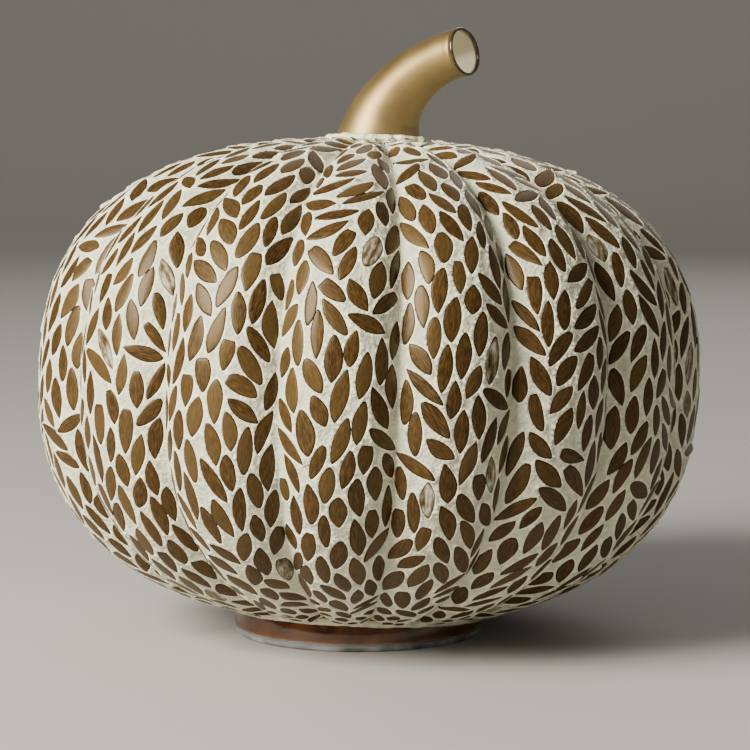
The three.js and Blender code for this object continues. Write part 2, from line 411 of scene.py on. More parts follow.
@dataclass(frozen=True)
class ClearGlass:
    """Clear glass that turns frosted towards its ground lower edge, where it is painted dark grey: the ground
    edge plus a painted contact shadow.
    """

    tint: Triple = (0.88, 0.88, 0.84)
    # Dark grey of the lower edge: the ground glass edge, deepened by a painted contact shadow.
    ground: Triple = (0.16, 0.165, 0.16)
    frost_top: float = 0.0032
    polish: float = 0.04
    frost: float = 0.5

    def make(self) -> bpy.types.Material:
        """Builds the material.

        Returns:
            The material.
        """
        bench = NodeBench("clear_glass")
        bench.set(IOR=1.47)
        height = bench.tree.nodes.new("ShaderNodeSeparateXYZ")
        bench.tree.links.new(bench.place(), height.inputs["Vector"])
        up = height.outputs["Z"]
        frost = bench.rescale(up, self.frost_top * 0.6, self.frost_top, self.frost, self.polish)
        bench.link(frost, "Roughness")
        upward = bench.rescale(up, self.frost_top * 0.5, self.frost_top * 1.3, 0.0, 1.0)
        smeared = bench.rescale(bench.noise(90.0, 3.0), 0.35, 0.65, 0.3, 1.0)
        # Painted dark towards the bottom: the ground edge and a painted contact shadow, broken up by noise.
        bench.link(bench.blend(upward, bench.blend(smeared, self.tint, self.ground), self.tint), "Base Color")
        bench.link(bench.rescale(upward, 0.0, 1.0, 0.55, 1.0), "Transmission Weight")
        bench.bump(bench.noise(120.0, 2.0), 0.0004, 0.2)
        return bench.material


@dataclass(frozen=True)
class SetAdhesive:
    """Clear adhesive, set hard, a little milky."""

    tint: Triple = (0.72, 0.68, 0.56)
    bubble: Triple = (0.85, 0.82, 0.72)

    def make(self) -> bpy.types.Material:
        """Builds the material.

        Returns:
            The material.
        """
        bench = NodeBench("set_adhesive")
        bench.set(Transmission_Weight=0.4, IOR=1.5)
        bubbles = bench.noise(700.0, 2.0)
        bench.link(bench.ramp(bubbles, [(0.4, self.tint), (0.65, self.bubble)]), "Base Color")
        bench.link(bench.rescale(bubbles, 0.3, 0.7, 0.2, 0.45), "Roughness")
        return bench.material


# ---------------------------------------------------------------------------------------------------------
# Mesh building
# ---------------------------------------------------------------------------------------------------------


class MeshCrew:
    """Turns arrays into finished objects."""

    @staticmethod
    def build(
        name: str, points: Array, faces: Faces, traces: dict[Trace, Array] | None = None
    ) -> bpy.types.Object:
        """Makes a smooth-shaded mesh object.

        Args:
            name: Name of the piece.
            points: Vertices in metres.
            faces: Vertex numbers of each face.
            traces: Values for each vertex, one number or three.

        Returns:
            The object.
        """
        mesh = bpy.data.meshes.new(name)
        mesh.from_pydata(np.asarray(points).tolist(), [], [tuple(int(i) for i in face) for face in faces])
        for trace, values in (traces or {}).items():
            flat = np.asarray(values, dtype=np.float32)
            kind = "FLOAT" if flat.ndim == 1 else "FLOAT_VECTOR"
            layer = mesh.attributes.new(trace.value, kind, "POINT")
            layer.data.foreach_set("value" if flat.ndim == 1 else "vector", flat.ravel())
        if MeshCrew.volume(mesh) < 0:
            mesh.flip_normals()
        mesh.shade_smooth()
        mesh.update()
        body = bpy.data.objects.new(name, mesh)
        bpy.context.scene.collection.objects.link(body)
        return body

    @staticmethod
    def volume(mesh: bpy.types.Mesh) -> float:
        """Measures a closed mesh.

        Args:
            mesh: The mesh.

        Returns:
            Six times its volume, negative when its faces look inwards.
        """
        mesh.calc_loop_triangles()
        corners = np.empty(len(mesh.loop_triangles) * 3, dtype=np.int32)
        mesh.loop_triangles.foreach_get("vertices", corners)
        places = np.empty(len(mesh.vertices) * 3)
        mesh.vertices.foreach_get("co", places)
        a, b, c = places.reshape(-1, 3)[corners.reshape(-1, 3)].transpose(1, 0, 2)
        return float((a * np.cross(b, c)).sum())

    @staticmethod
    def ring_faces(loops: int, around: int, closed: bool = True) -> Faces:
        """Faces of a stack of loops.

        Args:
            loops: Number of loops.
            around: Vertices on each loop.
            closed: Whether the last loop joins the first.

        Returns:
            Quads that run round every loop.
        """
        faces = []
        for row in range(loops if closed else loops - 1):
            below = row * around
            above = (row + 1) % loops * around
            for i in range(around):
                j = (i + 1) % around
                faces.append((below + i, below + j, above + j, above + i))
        return faces


def dress(piece: bpy.types.Object, material: bpy.types.Material, slot: Slot, *nodes: str) -> None:
    """Gives a piece its material and its body, hides the nodes it stands for and logs its slot.

    Args:
        piece: The piece.
        material: Its material.
        slot: The record's slot.
        *nodes: CAD nodes that it replaces.
    """
    piece.data.materials.clear()
    piece.data.materials.append(material)
    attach(piece, ROOT)
    if nodes:
        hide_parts(*nodes)
    log.info("%s: %d faces, slot %s", piece.name, len(piece.data.polygons), slot.value)


# ---------------------------------------------------------------------------------------------------------
# The lobed body
# ---------------------------------------------------------------------------------------------------------


@dataclass(frozen=True)
class BodyShape:
    """The body's outline over the tiles, its lobes and its lean, in millimetres and degrees."""

    crest_radius: float = 152.8
    waist_height: float = 116.9
    crown_rise: float = 109.7
    belly_drop: float = 113.7
    crown_squareness: float = 2.51
    belly_squareness: float = 2.38
    lopsidedness: float = 0.0074
    lobes: int = 16
    first_groove: float = 4.7
    unevenness: float = 3.4
    uneven_bearing: float = -35.0
    groove_depth: float = 0.062
    groove_steepness: float = 2.7
    groove_rounding: float = 0.05
    crown_fade: float = 10.0
    foot_fade: float = 46.0
    lean_right: float = 2.1
    lean_back: float = 4.0
    foot_ring_radius: float = 53.4

    def groove_bearing(self, number: int) -> float:
        """Bearing of a groove.

        Args:
            number: The groove, from 0 at the front.

        Returns:
            Radians from -Y towards +X.
        """
        even = self.first_groove + 360.0 * number / self.lobes
        stray = self.unevenness * math.cos(math.radians(2 * (even - self.uneven_bearing)))
        return math.radians(even + stray)

    def outline(self, latitude: Array, skin: float | Array) -> tuple[Array, Array]:
        """The outline seen from the body's middle.

        Args:
            latitude: Radians above the waist.
            skin: Depth under the tiles.

        Returns:
            Radius and height over the waist.
        """
        upper = latitude > 0
        power = np.where(upper, self.crown_squareness, self.belly_squareness)
        rise = np.where(upper, self.crown_rise, self.belly_drop) - skin
        across = np.abs(np.cos(latitude)) / (self.crest_radius - skin)
        along = np.abs(np.sin(latitude)) / rise
        reach = (across**power + along**power) ** (-1 / power)
        return reach * np.cos(latitude), reach * np.sin(latitude)

    def groove_share(self, radius: Array, latitude: Array, u: Array) -> Array:
        """How far a point lies under the crest, as a share of its distance from the middle.

        Args:
            radius: Radius of the crest there.
            latitude: Radians above the waist.
            u: Place across the lobe, -1 and 1 in the grooves and 0 on the crest.

        Returns:
            The share.
        """
        fade = np.where(latitude > 0, self.crown_fade, self.foot_fade)
        depth = self.groove_depth * np.sqrt(np.clip((radius - fade) / (self.crest_radius - fade), 0, None))
        soft = self.groove_rounding
        from_groove = np.sqrt((1 - np.abs(u)) ** 2 + soft**2) - soft
        return depth * (1 - from_groove / (math.hypot(1, soft) - soft)) ** self.groove_steepness

    def point(self, latitude: Array, bearing: Array, u: Array, skin: float | Array) -> Array:
        """Points of the body in its own upright frame.

        Args:
            latitude: Radians above the waist.
            bearing: Radians from -Y towards +X.
            u: Place across the lobe.
            skin: Depth under the tiles.

        Returns:
            One row of x, y and z for each point.
        """
        radius, height = self.outline(latitude, skin)
        askew = self.lopsidedness * np.sin(2 * latitude) * np.cos(latitude) * np.sin(bearing)
        scale = (1 - self.groove_share(radius, latitude, u)) * (1 + askew)
        flat = radius * scale
        z = self.waist_height + height * scale
        return np.stack([flat * np.sin(bearing), -flat * np.cos(bearing), z], -1)

    def latitude_of(self, radius: float, on_crown: bool) -> float:
        """Finds where the crest has a radius.

        Args:
            radius: The radius.
            on_crown: Above the waist, or below it.

        Returns:
            Radians above the waist.
        """
        low, high = 0.0, math.pi / 2 if on_crown else -math.pi / 2
        for _ in range(40):
            middle = (low + high) / 2
            if float(self.outline(np.float64(middle), 0.0)[0]) > radius:
                low = middle
            else:
                high = middle
        return (low + high) / 2

    def turn(self) -> Matrix:
        """The body's lean.

        Returns:
            A rotation matrix.
        """
        back = Matrix.Rotation(math.radians(-self.lean_back), 3, "X")
        right = Matrix.Rotation(math.radians(self.lean_right), 3, "Y")
        return back @ right

    def pivot(self) -> Vector:
        """The middle of the foot on the table, from the record's mount.

        Returns:
            The place in metres.
        """
        mount = next(m for m in frame["record"]["mounts"] if m["name"] == "foot_underside")
        return Vector(mount["pos_m"]) + Vector((0, self.foot_ring_radius * MM, 0))

    def world(self, points: Array) -> Array:
        """Leans and moves points onto the frame.

        Args:
            points: Rows of millimetres in the body's frame.

        Returns:
            Rows of metres in the frame.
        """
        return np.asarray(points) @ np.array(self.turn()).T * MM + np.array(self.pivot())

    def level(self, x: Array, y: Array, above: float) -> Array:
        """Height, in the body's frame, of a plane so far above the table.

        Args:
            x: Places along X.
            y: Places along Y.
            above: Height over the table.

        Returns:
            Heights in the body's frame.
        """
        normal = np.array(self.turn())[2]
        return (above - normal[0] * x - normal[1] * y) / normal[2]


class RibMap:
    """Lays a flat strip onto one rib: s runs down the crest from the stem, w across from the crest."""

    ROWS = 241
    COLUMNS = 41

    def __init__(self, shape: BodyShape, lobe: int, top_radius: float, hem_radius: float) -> None:
        """Measures the rib.

        Args:
            shape: The body.
            lobe: Which rib.
            top_radius: Radius where the strip starts on the crown.
            hem_radius: Radius where it ends above the foot.
        """
        self.shape = shape
        self.first = shape.groove_bearing(lobe)
        self.second = shape.groove_bearing(lobe + 1)
        top = shape.latitude_of(top_radius, True)
        hem = shape.latitude_of(hem_radius, False)
        self.latitudes = np.linspace(top, hem, self.ROWS)
        crest = shape.point(self.latitudes, np.full(self.ROWS, self.first), np.zeros(self.ROWS), 0.0)
        self.lengths = np.concatenate([[0], np.cumsum(np.linalg.norm(np.diff(crest, axis=0), axis=1))])
        self.length = float(self.lengths[-1])
        u, latitude = np.meshgrid(np.linspace(-1, 1, self.COLUMNS), self.latitudes)
        rows = shape.point(latitude, self.bearing(u), u, 0.0)
        self.halves = np.linalg.norm(np.diff(rows, axis=1), axis=2).sum(axis=1) / 2

    def bearing(self, u: Array) -> Array:
        """Bearing across the rib.

        Args:
            u: Place across the rib.

        Returns:
            Radians from -Y towards +X.
        """
        return self.first + (self.second - self.first) * (u + 1) / 2

    def half_width(self, s: Array) -> Array:
        """Half of the strip's width.

        Args:
            s: Places down the crest.

        Returns:
            Half widths.
        """
        return np.interp(s, self.lengths, self.halves)

    def lift(self, flat: Array, height: float | Array = 0.0) -> Array:
        """Puts strip points onto the rib.

        Args:
            flat: Points with s and w in the last axis.
            height: Height over the outline.

        Returns:
            Points in the body's frame.
        """
        latitude = np.interp(flat[..., 0], self.lengths, self.latitudes)
        share = np.clip(flat[..., 1] / self.half_width(flat[..., 0]), -1, 1)
        u = share * (1.12 - 0.12 * share**2)
        return self.shape.point(latitude, self.bearing(u), u, -np.asarray(height))


# ---------------------------------------------------------------------------------------------------------
# Leaf tiles
# ---------------------------------------------------------------------------------------------------------


@dataclass
class LeafSet:
    """The tiles of one rib: places on the strip, turns from its length, sizes and characters."""

    places: Array
    turns: Array
    halves: Array
    traits: Array

    POINTS = 26

    def outlines(self, grow: float = 0.0, points: int = POINTS) -> Array:
        """Outlines on the strip.

        Args:
            grow: How far outside the tile the line runs.
            points: Points on each outline.

        Returns:
            For each tile, rows of s and w.
        """
        angle = np.linspace(0, 2 * math.pi, points, endpoint=False)
        sine, cosine = np.sin(angle)[None], np.cos(angle)[None]
        long_half, wide_half = self.halves[:, :1] + grow * 1.3, self.halves[:, 1:] + grow
        traits = (self.traits[:, k : k + 1] for k in range(self.traits.shape[1]))
        sharp, skew, bow, blunt_a, blunt_b, bulge, wave_a, wave_b = traits
        x = long_half * np.clip(cosine, -blunt_a, blunt_b)
        cut = 1 + bulge * np.sign(sine) + 0.022 * np.sin(3 * angle + wave_a)
        cut = cut + 0.018 * np.sin(5 * angle + wave_b)
        y = wide_half * cut * np.sign(sine) * np.abs(sine) ** sharp * (1 + skew * cosine) + bow * sine**2
        c, n = np.cos(self.turns)[:, None], np.sin(self.turns)[:, None]
        return np.stack([self.places[:, :1] + x * c - y * n, self.places[:, 1:] + x * n + y * c], -1)


@dataclass
class LeafSetter:
    """Sets leaf tiles on a rib: strewn, turned and nudged until the gaps are even."""

    long_leaf: float = 19.2
    short_leaf: float = 10.4
    wide_leaf: float = 7.1
    slim_leaf: float = 5.6
    growth_run: float = 58.0
    gap: float = 1.3
    edge_gap: float = 0.3
    coverage: float = 0.57
    length_spread: float = 0.12
    width_spread: float = 0.09
    sway_turn: float = 36.0
    turn_spread: float = 19.0
    stray_share: float = 0.10
    broken_share: float = 0.13
    last_gap: float = 0.8
    least_half_width: float = 1.5
    steps: int = 90
    beads: tuple[float, ...] = (-0.86, -0.62, -0.34, 0.0, 0.34, 0.62, 0.86)
    bead_sizes: tuple[float, ...] = (0.30, 0.62, 0.88, 1.0, 0.88, 0.62, 0.30)

    def leaf_halves(self, strip: RibMap, s: Array, random: np.random.Generator) -> Array:
        """Sizes of leaves, small near the stem and the foot.

        Args:
            strip: The rib.
            s: Places down the crest.
            random: The source of chance.

        Returns:
            Half lengths and half widths.
        """
        nearness = np.clip(np.minimum(s, strip.length - s) / self.growth_run, 0, 1)
        ease = nearness * nearness * (3 - 2 * nearness)
        length = self.short_leaf + (self.long_leaf - self.short_leaf) * ease
        width = self.slim_leaf + (self.wide_leaf - self.slim_leaf) * ease
        length = length * random.normal(1, self.length_spread, s.size)
        width = width * random.normal(1, self.width_spread, s.size)
        return np.stack([length / 2, width / 2], -1)

    def strew(self, strip: RibMap, random: np.random.Generator) -> LeafSet:
        """Strews leaves over the rib with an even density.

        Args:
            strip: The rib.
            random: The source of chance.

        Returns:
            The leaves, still overlapping.
        """
        s_grid = np.linspace(0, strip.length, 400)
        halves = self.leaf_halves(strip, s_grid, np.random.default_rng(0))
        density = 2 * strip.half_width(s_grid) * self.coverage / (0.64 * 4 * halves[:, 0] * halves[:, 1])
        total = np.concatenate([[0], np.cumsum(density[1:] * np.diff(s_grid))])
        count = int(total[-1])
        s = np.interp(np.arange(count) + random.uniform(0.1, 0.9, count), total, s_grid)
        lane = (np.arange(count) * GOLDEN_SHARE + random.uniform(0, 1)) % 1
        w = (lane * 2 - 1) * (strip.half_width(s) - 3)
        phase = random.uniform(0, 2 * math.pi, 2)
        sway = np.sin(s / 19 + phase[0]) * np.cos(w / 7 + phase[1])
        turns = np.radians(self.sway_turn * sway + random.normal(0, self.turn_spread, count))
        stray = random.uniform(size=count) < self.stray_share
        turns = np.where(stray, random.uniform(-1.4, 1.4, count), turns)
        turns *= 1 - 0.45 * np.clip(np.abs(w) / strip.half_width(s) - 0.55, 0, 1) / 0.45
        is_broken = random.uniform(size=count) < self.broken_share
        broken = np.where(is_broken, random.uniform(0.62, 0.85, count), 1.0)
        traits = np.stack([
            random.uniform(1.4, 1.95, count), random.normal(0, 0.11, count), random.normal(0, 0.28, count),
            random.uniform(0.90, 1.0, count) * broken, random.uniform(0.93, 1.0, count),
            random.normal(0, 0.12, count), random.uniform(0, 6.28, count), random.uniform(0, 6.28, count),
        ], -1)
        return LeafSet(np.stack([s, w], -1), turns, self.leaf_halves(strip, s, random), traits)

    def contacts(self, leaves: LeafSet, gap: float) -> tuple[Array, Array, Array, Array, Array]:
        """Finds the deepest overlap of each pair of near leaves, gaps included.

        Args:
            leaves: The leaves.
            gap: The gap that they should keep.

        Returns:
            First leaves, second leaves, overlap depths, push directions and contact arms.
        """
        place, half = leaves.places, leaves.halves
        apart = np.linalg.norm(place[:, None] - place[None], axis=2)
        reach = half[:, :1] + half[None, :, 0] + gap
        first, second = np.nonzero(np.triu(apart < reach, 1))
        axis = np.stack([np.cos(leaves.turns), np.sin(leaves.turns)], -1)
        arms = axis[:, None] * (half[:, :1] * np.array(self.beads))[..., None]
        sizes = half[:, 1:] * np.array(self.bead_sizes)
        centres = place[:, None] + arms
        step = centres[first][:, :, None] - centres[second][:, None]
        distance = np.linalg.norm(step, axis=3) + 1e-9
        depth = sizes[first][:, :, None] + sizes[second][:, None] + gap - distance
        best = depth.reshape(len(first), -1).argmax(axis=1)
        a, b = np.divmod(best, len(self.beads))
        row = np.arange(len(first))
        push = step[row, a, b] / distance[row, a, b][:, None]
        hold = depth[row, a, b] > 0
        arm = np.stack([arms[first, a], arms[second, b]], 1)
        return first[hold], second[hold], depth[row, a, b][hold], push[hold], arm[hold]

    def settle(self, leaves: LeafSet, strip: RibMap) -> None:
        """Nudges and turns the leaves until they lie apart and inside the rib.

        Args:
            leaves: The leaves, changed in place.
            strip: The rib.
        """
        beads, bead_sizes = np.array(self.beads), np.array(self.bead_sizes)
        for _ in range(self.steps):
            first, second, depth, push, arm = self.contacts(leaves, self.gap)
            move = np.zeros_like(leaves.places)
            spin = np.zeros_like(leaves.turns)
            for index, sign, side in ((first, 0.35, 0), (second, -0.35, 1)):
                shove = push * (depth * sign)[:, None]
                np.add.at(move, index, shove)
                lever = arm[:, side, 0] * shove[:, 1] - arm[:, side, 1] * shove[:, 0]
                np.add.at(spin, index, lever / (0.45 * leaves.halves[index, 0] ** 2 + 4))
            leaves.places += move
            leaves.turns += spin * 0.8
            axis = np.stack([np.cos(leaves.turns), np.sin(leaves.turns)], -1)
            arms = axis[:, None] * (leaves.halves[:, :1] * beads)[..., None]
            centres = leaves.places[:, None] + arms
            size = leaves.halves[:, 1:] * bead_sizes + self.edge_gap
            wall = strip.half_width(centres[..., 0]) - size
            over = centres[..., 1] - np.clip(centres[..., 1], -wall, wall)
            beyond = centres[..., 0] - np.clip(centres[..., 0], size, strip.length - size)
            leaves.turns -= 0.05 * (over * arms[..., 0]).sum(axis=1) / leaves.halves[:, 0] ** 2
            leaves.places[:, 1] -= over[np.arange(len(over)), np.abs(over).argmax(axis=1)]
            leaves.places[:, 0] -= beyond[np.arange(len(beyond)), np.abs(beyond).argmax(axis=1)]

    def trim(self, leaves: LeafSet) -> LeafSet:
        """Cuts leaves that still crowd each other a little smaller, and drops the hopeless ones.

        Args:
            leaves: The leaves.

        Returns:
            The leaves that are kept.
        """
        for _ in range(6):
            first, second, depth, _, _ = self.contacts(leaves, self.last_gap)
            cut = np.zeros(len(leaves.turns))
            np.maximum.at(cut, first, depth)
            np.maximum.at(cut, second, depth)
            leaves.halves *= np.clip(1 - 0.5 * cut / leaves.halves[:, 1], 0.8, 1)[:, None]
        keep = leaves.halves[:, 1] > self.least_half_width
        return LeafSet(leaves.places[keep], leaves.turns[keep], leaves.halves[keep], leaves.traits[keep])

    def lay(self, strip: RibMap, seed: int) -> LeafSet:
        """Covers a rib with leaves.

        Args:
            strip: The rib.
            seed: Number that makes this rib's chance its own.

        Returns:
            The leaves.
        """
        leaves = self.strew(strip, np.random.default_rng(seed))
        self.settle(leaves, strip)
        return self.trim(leaves)


@dataclass
class MosaicRib:
    """The leaf tiles and the grout on one rib."""

    shape: BodyShape
    lobe: int
    setter: LeafSetter
    tile_material: bpy.types.Material
    grout_material: bpy.types.Material
    top_radius: float = 22.0
    hem_radius: float = 60.0
    tile_depth: float = 2.1
    tile_dome: float = 0.27
    grout_back: float = 2.45
    border_step: float = 2.5
    hollow: float = -0.42
    lip: float = 0.16
    lip_run: float = 0.75
    clear_share: float = 0.022
    near_ring: float = 0.55
    far_ring: float = 1.15
    filler_step: float = 2.3
    filler_reach: float = 40.0
    least_distance_squared: float = 0.30
    coarse_run: float = 9.0
    fine_run: float = 2.6
    strip: RibMap = field(init=False)
    leaves: LeafSet = field(init=False)
    edges: Array = field(init=False)

    def __post_init__(self) -> None:
        """Measures the rib and lays its leaves."""
        self.strip = RibMap(self.shape, self.lobe, self.top_radius, self.hem_radius)
        self.leaves = self.setter.lay(self.strip, Seed.LEAVES + self.lobe)

    def name(self, kind: str) -> str:
        """Name of one of the rib's pieces.

        Args:
            kind: What the piece is.

        Returns:
            The name.
        """
        return f"{kind}_{self.lobe + 1:02d}"

    def tile_planes(self, outlines: Array) -> tuple[Array, Array, Array]:
        """Lays each tile's outline flat, as a stiff piece of glass lies on a curved rib.

        Args:
            outlines: Outlines on the strip.

        Returns:
            Normals, flat outlines and their heights over the rib.
        """
        centre = self.leaves.places
        middle = self.strip.lift(centre)
        down = self.strip.lift(centre + (0.5, 0)) - middle
        across = self.strip.lift(centre + (0, 0.5)) - middle
        normal = np.cross(down, across)
        normal /= np.linalg.norm(normal, axis=1, keepdims=True)
        outward = middle - (0, 0, self.shape.waist_height)
        normal *= np.sign((normal * outward).sum(axis=1))[:, None]
        round_points = self.strip.lift(outlines)
        offset = round_points - middle[:, None]
        height = (offset * normal[:, None]).sum(axis=2)
        random = np.random.default_rng(Seed.TIP + self.lobe)
        tip = random.normal(0, 0.014, (len(centre), 3))
        lean = (offset * tip[:, None]).sum(axis=2)
        rise = 0.6 * height.mean(axis=1, keepdims=True) - 0.05 + lean
        flat = round_points + (rise - height)[..., None] * normal[:, None]
        return normal, flat, rise - height

    def tiles(self) -> bpy.types.Object:
        """Builds the rib's tiles: each a stiff leaf with a softened edge and a slight dome.

        Returns:
            The piece.
        """
        outlines = self.leaves.outlines()
        normal, flat, self.edges = self.tile_planes(outlines)
        count, around = flat.shape[:2]
        centre = flat.mean(axis=1)
        # The third number of each ring says how dark the tile is painted there: the glass's dark edge plus
        # painted shade in the gap at the grout.
        rings = [
            (0.98, -self.tile_depth, 1.0), (1.0, -0.45, 1.0), (0.975, -0.12, 1.0), (0.92, 0.03, 0.75),
            (0.78, 0.45 * self.tile_dome, 0.35), (0.5, 0.82 * self.tile_dome, 0.05),
        ]
        spread = flat - centre[:, None]
        layers = [centre[:, None] + spread * scale + normal[:, None] * up for scale, up, _ in rings]
        top = centre + normal * self.tile_dome
        base = centre - normal * self.tile_depth
        points = np.concatenate([np.concatenate(layers, axis=1), top[:, None], base[:, None]], axis=1)
        rim = np.concatenate([np.repeat([r for _, _, r in rings], around), [0.0, 1.0]])
        pattern = [tuple(f) for f in MeshCrew.ring_faces(len(rings), around, closed=False)]
        last, tip, foot = (len(rings) - 1) * around, len(rings) * around, len(rings) * around + 1
        for i in range(around):
            j = (i + 1) % around
            pattern.append((last + i, last + j, tip))
            pattern.append((j, i, foot))
        per_tile = points.shape[1]
        faces = [tuple(i + tile * per_tile for i in face) for tile in range(count) for face in pattern]
        random = np.random.default_rng(Seed.GLASS + self.lobe)
        tint = np.clip(random.normal(0.5, 0.2, count), 0, 0.93)
        tint = np.where(random.uniform(size=count) < self.clear_share, 1.0, tint)
        local = outlines - self.leaves.places[:, None]
        c, n = np.cos(self.leaves.turns)[:, None], np.sin(self.leaves.turns)[:, None]
        along = local[..., 0] * c + local[..., 1] * n
        aside = -local[..., 0] * n + local[..., 1] * c
        grain = np.zeros((count, per_tile, 3))
        for row, (scale, _, _) in enumerate(rings):
            grain[:, row * around : (row + 1) * around, 0] = along * scale
            grain[:, row * around : (row + 1) * around, 1] = aside * scale
        grain[..., 2] = random.uniform(0, 90, count)[:, None]
        traces = {
            Trace.TINT: np.repeat(tint, per_tile),
            Trace.RIM: np.tile(rim, count),
            Trace.GRAIN: grain.reshape(-1, 3),
        }
        return MeshCrew.build(self.name("leaf_tiles"), self.shape.world(points.reshape(-1, 3)), faces, traces)

    def border(self) -> Array:
        """The strip's own outline, with points that its neighbours share.

        Returns:
            Rows of s and w.
        """
        steps = int(self.strip.length / self.border_step)
        s = np.linspace(0, self.strip.length, steps + 1)
        half = self.strip.half_width(s)
        across_top = np.linspace(-half[0], half[0], 5)[1:-1]
        across_hem = np.linspace(half[-1], -half[-1], 11)[1:-1]
        clockwise = np.concatenate([
            np.stack([s[::-1], -half[::-1]], -1), np.stack([np.zeros(3), across_top], -1),
            np.stack([s, half], -1), np.stack([np.full(9, self.strip.length), across_hem], -1),
        ])
        return clockwise[::-1]

    def filler(self, outlines: Array, border: Array) -> Array:
        """Points between the tiles that give the grout its shape.

        Args:
            outlines: Outlines of the tiles.
            border: Outline of the strip.

        Returns:
            Rows of s and w.
        """
        near = self.leaves.outlines(self.near_ring, 22).reshape(-1, 2)
        far = self.leaves.outlines(self.far_ring, 16).reshape(-1, 2)
        down = np.arange(1.2, self.strip.length, self.filler_step)
        s, w = np.meshgrid(down, np.arange(-self.filler_reach, self.filler_reach, self.filler_step))
        random = np.random.default_rng(Seed.FILLER + self.lobe)
        grid = np.stack([s, w], -1).reshape(-1, 2) + random.uniform(-0.6, 0.6, (s.size, 2))
        candidates = np.concatenate([near, far, grid])
        inside = np.abs(candidates[:, 1]) < self.strip.half_width(candidates[:, 0]) - 0.5
        inside &= (candidates[:, 0] > 0.6) & (candidates[:, 0] < self.strip.length - 0.6)
        candidates = candidates[inside]
        fences = np.concatenate([outlines.reshape(-1, 2), border])
        taken: dict[tuple[int, int], list[Array]] = {}
        cell = 1.0
        for point in fences:
            taken.setdefault((int(point[0] // cell), int(point[1] // cell)), []).append(point)
        kept = []
        for point in candidates:
            a, b = int(point[0] // cell), int(point[1] // cell)
            crowd = [q for i in (-1, 0, 1) for j in (-1, 0, 1) for q in taken.get((a + i, b + j), ())]
            apart = [(q[0] - point[0]) ** 2 + (q[1] - point[1]) ** 2 for q in crowd]
            if all(square > self.least_distance_squared for square in apart):
                kept.append(point)
                taken.setdefault((a, b), []).append(point)
        return np.array(kept)

    def grout_height(self, flat: Array, body: Array) -> tuple[Array, Array]:
        """Height of the grout: it laps up to each tile and sags between them.

        Args:
            flat: Points on the strip.
            body: The same points on the body.

        Returns:
            Heights over the rib and how much of a lip each point is.
        """
        dense = self.leaves.outlines(0.0, LeafSet.POINTS * 4).reshape(-1, 2)
        rises = np.repeat(self.edges, 4, axis=1).ravel()
        tree = kdtree.KDTree(len(dense))
        for i, (s, w) in enumerate(dense):
            tree.insert((s, w, 0), i)
        tree.balance()
        found = [tree.find((s, w, 0)) for s, w in flat]
        near = np.array([hit[1] for hit in found])
        distance = np.array([hit[2] for hit in found])
        lipness = np.exp(-((distance / self.lip_run) ** 2))
        coarse = np.array([noise.noise(Vector(p) / self.coarse_run) for p in body])
        fine = np.array([noise.noise(Vector(p) / self.fine_run) for p in body])
        low = self.hollow + 0.34 * coarse + 0.32 * fine
        side = np.clip((self.strip.half_width(flat[:, 0]) - np.abs(flat[:, 1])) / 1.2, 0, 1)
        high = rises[near] + self.lip + 0.20 * fine
        return low + (high - low) * lipness * side, lipness * side

    def grout(self) -> bpy.types.Object:
        """Builds the rib's grout: one closed body pierced by a pocket for every tile.

        Returns:
            The piece.
        """
        outlines = self.leaves.outlines()
        border = self.border()
        filler = self.filler(outlines, border)
        rim_points = outlines.reshape(-1, 2)
        flat = np.concatenate([border, rim_points, filler])
        size, around = len(border), outlines.shape[1]
        outer = list(range(size))
        holes = [list(range(size + k * around, size + (k + 1) * around)) for k in range(len(outlines))]
        result = delaunay_2d_cdt([Vector(p) for p in flat], [], [outer] + holes, 0, 1e-5, True)
        plane = np.array([tuple(v) for v in result[0]])
        triangles = np.array([face for face, origin in zip(result[2], result[5]) if list(origin) == [0]])
        used, triangles = np.unique(triangles, return_inverse=True)
        triangles = triangles.reshape(-1, 3)
        plane = plane[used]
        corners = plane[triangles]
        a, b = corners[:, 1] - corners[:, 0], corners[:, 2] - corners[:, 0]
        flip = a[:, 0] * b[:, 1] - a[:, 1] * b[:, 0] < 0
        triangles[flip] = triangles[flip][:, ::-1]
        ground = self.strip.lift(plane)
        height, lipness = self.grout_height(plane, ground)
        top = self.strip.lift(plane, height)
        back = self.strip.lift(plane, -self.grout_back)
        count = len(plane)
        edges = {(int(t[i]), int(t[(i + 1) % 3])) for t in triangles for i in range(3)}
        walls = [(j, i, i + count, j + count) for i, j in edges if (j, i) not in edges]
        faces = [tuple(t) for t in triangles] + [tuple(t + count) for t in triangles[:, ::-1]] + walls
        points = self.shape.world(np.concatenate([top, back]))
        # The lip share also sets the painted highlight on the lips and the painted shade in the hollows.
        traces = {Trace.LIP: np.concatenate([lipness, lipness])}
        body = MeshCrew.build(self.name("grout_rib"), points, faces, traces)
        self.soften_seams(body, plane, triangles)
        return body

